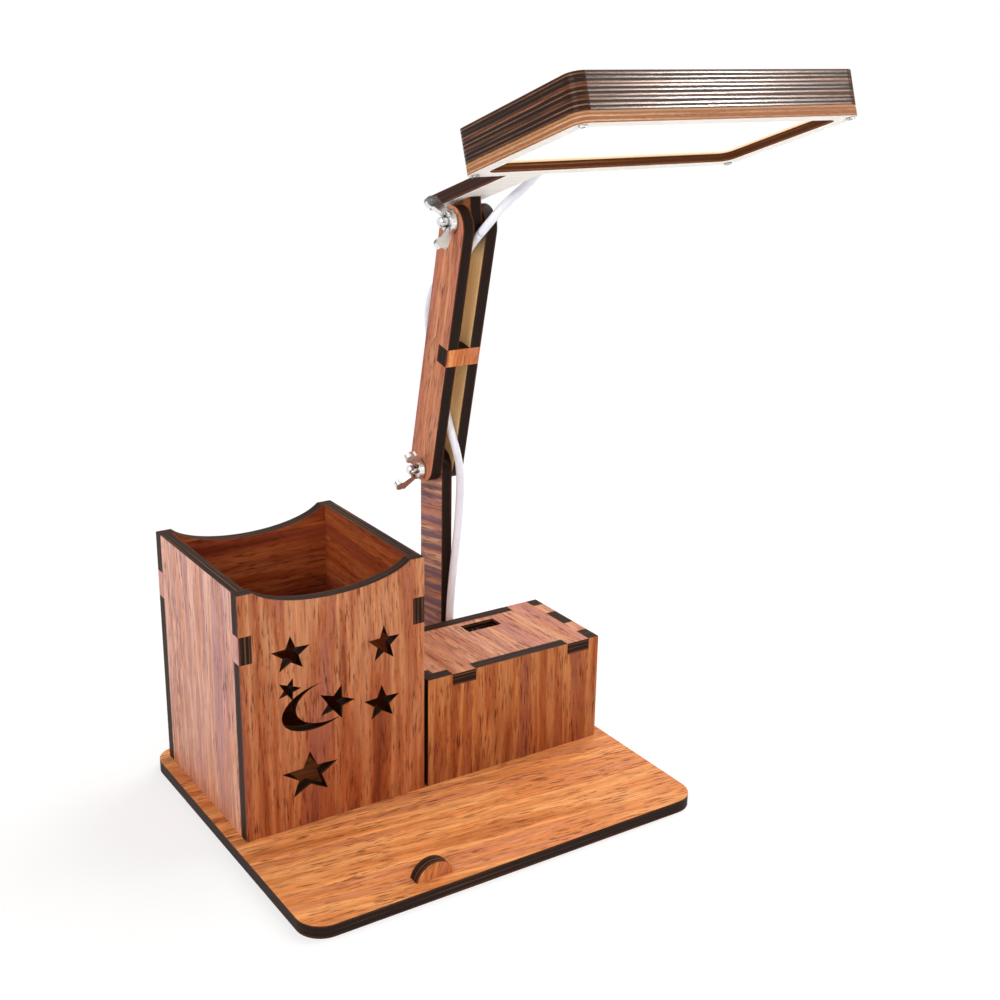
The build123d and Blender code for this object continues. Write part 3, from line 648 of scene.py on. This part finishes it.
def board_mask(plastic):
    """Speckled white solder mask of the light board."""
    material, w, shader = new_finish("light_board_mask", IOR=1.5)
    speckle = w.noise(w.spot(), scale=1500.0, detail=3, rough=0.6)
    w.fill(shader, {
        "Base Color": w.mixed(w.span(speckle, *USUAL, 0.0, 0.2), plastic.board, tone(205, 208, 205)),
        "Roughness": w.span(speckle, *USUAL, 0.35, 0.5),
    })
    return material


def light_chip():
    """Yellow phosphor of the small lamps on the light board."""
    material, w, shader = new_finish("light_chip", Emission_Strength=1.2, IOR=1.5)
    grain = w.noise(w.spot(), scale=3000.0, detail=2, rough=0.5)
    w.fill(shader, {
        "Base Color": w.mixed(grain, tone(246, 214, 96), tone(255, 236, 150)),
        "Emission Color": w.mixed(grain, (1.0, 0.85, 0.5), (1.0, 0.92, 0.7)),
    })
    return material


class LAMP_OT_light(bpy.types.Operator):
    """Lights the frosted sheet, and finishes the light board behind it"""
    bl_idname = "lamp.light"
    bl_label = "Dress the light"

    def execute(self, context):
        dress(NODES["diffuser"], frosted_sheet(context.scene.lamp_light))
        dress(NODES["led_board"], board_mask(context.scene.lamp_plastic))
        dress(NODES["led_chips"], light_chip())
        return {"FINISHED"}


def black_plastic(plastic):
    """Black moulded plastic with a fine grain."""
    material, w, shader = new_finish("black_plastic", IOR=1.46)
    grain = w.noise(w.spot(), scale=1800.0, detail=4, rough=0.6)
    w.fill(shader, {
        "Base Color": w.mixed(w.span(grain, 0.35, 0.7), plastic.black, (0.040, 0.040, 0.043)),
        "Roughness": w.span(grain, *USUAL, 0.38, 0.58),
        "Normal": w.bump(grain, strength=0.25, distance=FINE_DEPTH),
    })
    return material


def cell_sleeve(plastic, metal):
    """Scuffed sleeve of the battery cells, with a band and a metal tip at their ends."""
    low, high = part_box("battery_cells")
    reach = (high.x - low.x) / 2
    material, w, shader = new_finish("cell_sleeve", IOR=1.5)
    spot = w.spot()
    away = w.away(spot, X_WAY, (low.x + high.x) / 2)
    scuff = w.noise(spot, scale=700.0, detail=4, rough=0.6)
    tint = w.mixed(w.sum("GREATER_THAN", away, reach - CELL_BAND), plastic.wrap, plastic.band)
    tint = w.mixed(0.4, tint, w.ramp(scuff, (0.3, 0.7), (0.7, 1.0)), "MULTIPLY")
    tip = w.sum("GREATER_THAN", away, reach - CELL_TIP)
    w.fill(shader, {
        "Base Color": w.mixed(tip, tint, metal.zinc),
        "Metallic": tip,
        "Roughness": w.span(scuff, *USUAL, 0.22, 0.38),
    })
    return material


def spring_strip():
    """Brushed strip of the battery contacts."""
    material, w, shader = new_finish("spring_strip", Metallic=1.0)
    brushed = w.noise(w.stretched(w.spot(), 3000.0, 200.0, 3000.0), detail=3, rough=0.6)
    w.fill(shader, {
        "Base Color": w.mixed(brushed, (0.52, 0.52, 0.50), (0.78, 0.78, 0.76)),
        "Roughness": w.span(brushed, *USUAL, 0.24, 0.40),
    })
    return material


class LAMP_OT_battery(bpy.types.Operator):
    """Finishes the switch, the battery holder, its cells and the terminals"""
    bl_idname = "lamp.battery"
    bl_label = "Dress the switch and battery"

    def execute(self, context):
        plastic = context.scene.lamp_plastic
        black = black_plastic(plastic)
        for name in ("switch_body", "switch_knob", "battery_holder", "wire_terminal", "led_terminal"):
            dress(NODES[name], black)
            round_edges(NODES[name], PLASTIC_ROUNDING)
        dress(NODES["battery_cells"], cell_sleeve(plastic, context.scene.lamp_hardware))
        round_edges(NODES["battery_cells"], CELL_ROUNDING)
        dress(NODES["battery_contacts"], spring_strip())
        round_edges(NODES["battery_contacts"], STRIP_ROUNDING)
        return {"FINISHED"}


def smooth_line(route):
    """Points along the smooth spline that has a route as its control points."""
    curve = bpy.data.curves.new("cable_line", "CURVE")
    curve.dimensions = "3D"
    curve.resolution_u = 10
    spline = curve.splines.new("NURBS")
    spline.points.add(len(route) - 1)
    for point, place in zip(spline.points, route):
        point.co = (*place, 1)
    spline.order_u = 3
    spline.use_endpoint_u = True
    carrier = bpy.data.objects.new("cable_line", curve)
    mesh = bpy.data.meshes.new_from_object(carrier)
    line = [vertex.co.copy() for vertex in mesh.vertices]
    bpy.data.meshes.remove(mesh)
    bpy.data.objects.remove(carrier)
    bpy.data.curves.remove(curve)
    return line


def tube(name, line, radius, sides):
    """A round tube along a line, closed at both ends."""
    behind = [line[0], *line[:-1]]
    beyond = [*line[1:], line[-1]]
    ahead = [(end - start).normalized() for start, end in zip(behind, beyond)]
    side = ahead[0].orthogonal().normalized()
    corners = []
    for place, way in zip(line, ahead):
        side = (side - way * side.dot(way)).normalized()
        other = way.cross(side)
        for step in range(sides):
            angle = 2 * math.pi * step / sides
            corners.append(place + radius * (math.cos(angle) * side + math.sin(angle) * other))
    faces = []
    last = len(corners) - sides
    for ring in range(0, last, sides):
        for step in range(sides):
            beside = (step + 1) % sides
            faces.append((ring + step, ring + beside, ring + sides + beside, ring + sides + step))
    faces.append(tuple(reversed(range(sides))))
    faces.append(tuple(range(last, last + sides)))
    mesh = bpy.data.meshes.new(name)
    mesh.from_pydata(corners, [], faces)
    mesh.polygons.foreach_set("use_smooth", [len(face) == 4 for face in faces])
    mesh.update()
    obj = bpy.data.objects.new(name, mesh)
    bpy.context.scene.collection.objects.link(obj)
    return obj


def white_sleeve(cable):
    """Glossy white sleeve of the cable, faintly clouded."""
    material, w, shader = new_finish("white_sleeve", IOR=1.5, Coat_Weight=0.3, Coat_Roughness=0.15)
    spot = w.spot()
    cloud = w.noise(spot, scale=260.0, detail=4, rough=0.6)
    dimples = w.noise(spot, scale=1400.0, detail=3, rough=0.6)
    w.fill(shader, {
        "Base Color": w.mixed(w.span(cloud, 0.35, 0.75, 0.0, 0.5), cable.sleeve, (0.84, 0.85, 0.97)),
        "Roughness": w.span(cloud, *USUAL, 0.26, 0.40),
        "Normal": w.bump(dimples, strength=0.08, distance=FINE_DEPTH),
    })
    return material


class LAMP_OT_cable(bpy.types.Operator):
    """Runs the white cable from the head, between and behind the arm's plates, down into the battery box"""
    bl_idname = "lamp.cable"
    bl_label = "Lay the cable"

    def execute(self, context):
        cable = context.scene.lamp_cable
        material = white_sleeve(cable)
        stretches = (
            ("cable_head_loop_sleeve", HEAD_LOOP, ("cable_head_tail", "cable_head_loop")),
            ("cable_arm_run_sleeve", ARM_RUN, ("cable_arm_run",)),
            ("cable_post_run_sleeve", POST_RUN, ("cable_post_run", "cable_box_tail")),
        )
        for name, route, stands_for in stretches:
            line = smooth_line(route)
            piece = tube(name, line, cable.thickness / 2, cable.sides)
            dress(piece, material)
            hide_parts(*stands_for)
            if route is HEAD_LOOP:
                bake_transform(piece)
            elif route is POST_RUN:
                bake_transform(piece)
            else:
                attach(piece, "arm")
        return {"FINISHED"}


def studio_world(stage):
    """World that is white to the camera, dimmer as light, and partly dark in reflections."""
    world = bpy.data.worlds.new("studio")
    world.use_nodes = True
    w = Wiring(world.node_tree)
    ray = w.put("ShaderNodeLightPath").outputs
    way = w.put("ShaderNodeTexCoord").outputs["Generated"]
    flag = w.span(w.dot(way, Z_WAY), *FLAG_EDGE, stage.flag, 1.0, smooth=True)
    card = w.span(w.dot(way, CARD_WAY), *CARD_EDGE, 1.0, CARD_TONE, smooth=True)
    seen = w.sum("MAXIMUM", ray["Is Camera Ray"], ray["Is Transmission Ray"])
    plain = w.span(seen, 0.0, 1.0, stage.sky, 1.0)
    strength = w.blend(ray["Is Glossy Ray"], plain, w.sum("MULTIPLY", flag, card))
    w.fill(world.node_tree.nodes["Background"], {"Color": (1, 1, 1, 1), "Strength": strength})
    return world


def floor_paper():
    """White paper that shows the lamp's soft shadow close by and is plain white further off."""
    paper = bpy.data.materials.new("pale_floor")
    paper.use_nodes = True
    paper.node_tree.nodes.clear()
    w = Wiring(paper.node_tree)
    ray = w.put("ShaderNodeLightPath").outputs
    seen = w.sum("MAXIMUM", ray["Is Glossy Ray"], ray["Is Transmission Ray"])
    seen = w.sum("MAXIMUM", ray["Is Camera Ray"], seen)
    matt = w.put("ShaderNodeBsdfDiffuse", {"Color": (0.92, 0.92, 0.93, 1)}).outputs[0]
    away = w.put("ShaderNodeVectorMath", {0: w.spot()}, operation="LENGTH").outputs["Value"]
    far = w.span(away, *FLOOR_FADE, smooth=True)
    shaded = w.put("ShaderNodeBsdfDiffuse", {"Color": w.span(far, 0.0, 1.0, 0.42, 0.0)}).outputs[0]
    pale = w.put("ShaderNodeEmission", {"Strength": w.span(far, 0.0, 1.0, 0.62, 1.0)}).outputs[0]
    shown = w.put("ShaderNodeAddShader", {0: shaded, 1: pale}).outputs[0]
    both = w.put("ShaderNodeMixShader", {0: seen, 1: matt, 2: shown}).outputs[0]
    w.put("ShaderNodeOutputMaterial", {"Surface": both})
    return paper


def wide_floor():
    """Flat square floor just under the lamp."""
    side = FLOOR_REACH
    corners = [(-side, -side, 0), (side, -side, 0), (side, side, 0), (-side, side, 0)]
    mesh = bpy.data.meshes.new("floor")
    mesh.from_pydata(corners, [], [(0, 1, 2, 3)])
    floor = bpy.data.objects.new("floor", mesh)
    floor.location.z = -FLOOR_DROP
    dress(floor, floor_paper())
    return floor


def soft_light(name, place, size, watts, tint):
    """A square soft light that looks at the lamp's middle."""
    light = bpy.data.lights.new(name, "AREA")
    light.shape = "SQUARE"
    light.size = size
    light.energy = watts
    light.color = tint
    lamp = bpy.data.objects.new(name, light)
    lamp.location = place
    lamp.rotation_euler = (Vector(place) - LIGHT_AIM).to_track_quat("Z", "Y").to_euler()
    return lamp


def photo_camera(stage):
    """Camera at the photograph's viewing angle."""
    lens = bpy.data.cameras.new("photo_view")
    lens.lens = stage.lens
    lens.sensor_width = SENSOR_WIDTH
    lens.clip_start = NEAR_CLIP
    camera = bpy.data.objects.new("photo_view", lens)
    camera.matrix_world = Matrix.LocRotScale(Vector(stage.eye), Euler(stage.turn), None)
    return camera


class LAMP_OT_stage(bpy.types.Operator):
    """Sets the floor, the soft lights and the camera"""
    bl_idname = "lamp.stage"
    bl_label = "Set the stage"

    def execute(self, context):
        scene = context.scene
        stage = scene.lamp_stage
        scene.view_settings.view_transform = "Standard"
        scene.world = studio_world(stage)
        floor = wide_floor()
        scene.collection.objects.link(floor)
        key = soft_light(
            "key_softbox", (0.75, 0.10, 0.95), size=1.1, watts=stage.key, tint=(1.0, 0.985, 0.96))
        side = soft_light(
            "left_softbox", (-0.95, -0.15, 0.80), size=0.8, watts=stage.side, tint=(1.0, 0.97, 0.98))
        front = soft_light(
            "front_softbox", (-0.20, -1.10, 0.30), size=0.8, watts=stage.fill, tint=(1.0, 0.98, 0.96))
        strip = soft_light(
            "head_strip", (0.925, -0.892, 0.804), size=0.06, watts=stage.strip, tint=(1.0, 0.89, 0.82))
        strip.visible_diffuse = False
        camera = photo_camera(stage)
        for obj in (key, side, front, strip, camera):
            scene.collection.objects.link(obj)
        scene.camera = camera
        return {"FINISHED"}


class LAMP_PT_steps(bpy.types.Panel):
    """Lists the steps that dress the lamp"""
    bl_idname = "LAMP_PT_steps"
    bl_label = "Desk lamp"
    bl_space_type = "VIEW_3D"
    bl_region_type = "UI"
    bl_category = "Desk lamp"

    def draw(self, context):
        for operator in OPERATORS:
            self.layout.operator(operator.bl_idname)
        for name, kind in SETTINGS.items():
            box = self.layout.box()
            for key in kind.__annotations__:
                box.prop(getattr(context.scene, name), key)


OPERATORS = (LAMP_OT_boards, LAMP_OT_hardware, LAMP_OT_light, LAMP_OT_battery, LAMP_OT_cable, LAMP_OT_stage)
SETTINGS = {
    "lamp_walnut": WalnutSettings,
    "lamp_hardware": HardwareSettings,
    "lamp_light": LightSettings,
    "lamp_plastic": PlasticSettings,
    "lamp_cable": CableSettings,
    "lamp_stage": StageSettings,
}


def register():
    """Adds the settings, the operators and the panel."""
    for name, kind in SETTINGS.items():
        bpy.utils.register_class(kind)
        setattr(bpy.types.Scene, name, PointerProperty(type=kind))
    for kind in (*OPERATORS, LAMP_PT_steps):
        bpy.utils.register_class(kind)


def unregister():
    """Takes the settings, the operators and the panel away again."""
    for kind in reversed((*OPERATORS, LAMP_PT_steps)):
        bpy.utils.unregister_class(kind)
    for name, kind in reversed(SETTINGS.items()):
        delattr(bpy.types.Scene, name)
        bpy.utils.unregister_class(kind)


def main():
    """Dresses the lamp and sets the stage."""
    register()
    bpy.ops.lamp.boards()
    bpy.ops.lamp.hardware()
    bpy.ops.lamp.light()
    bpy.ops.lamp.battery()
    bpy.ops.lamp.cable()
    bpy.ops.lamp.stage()


if __name__ == "__main__":
    main()
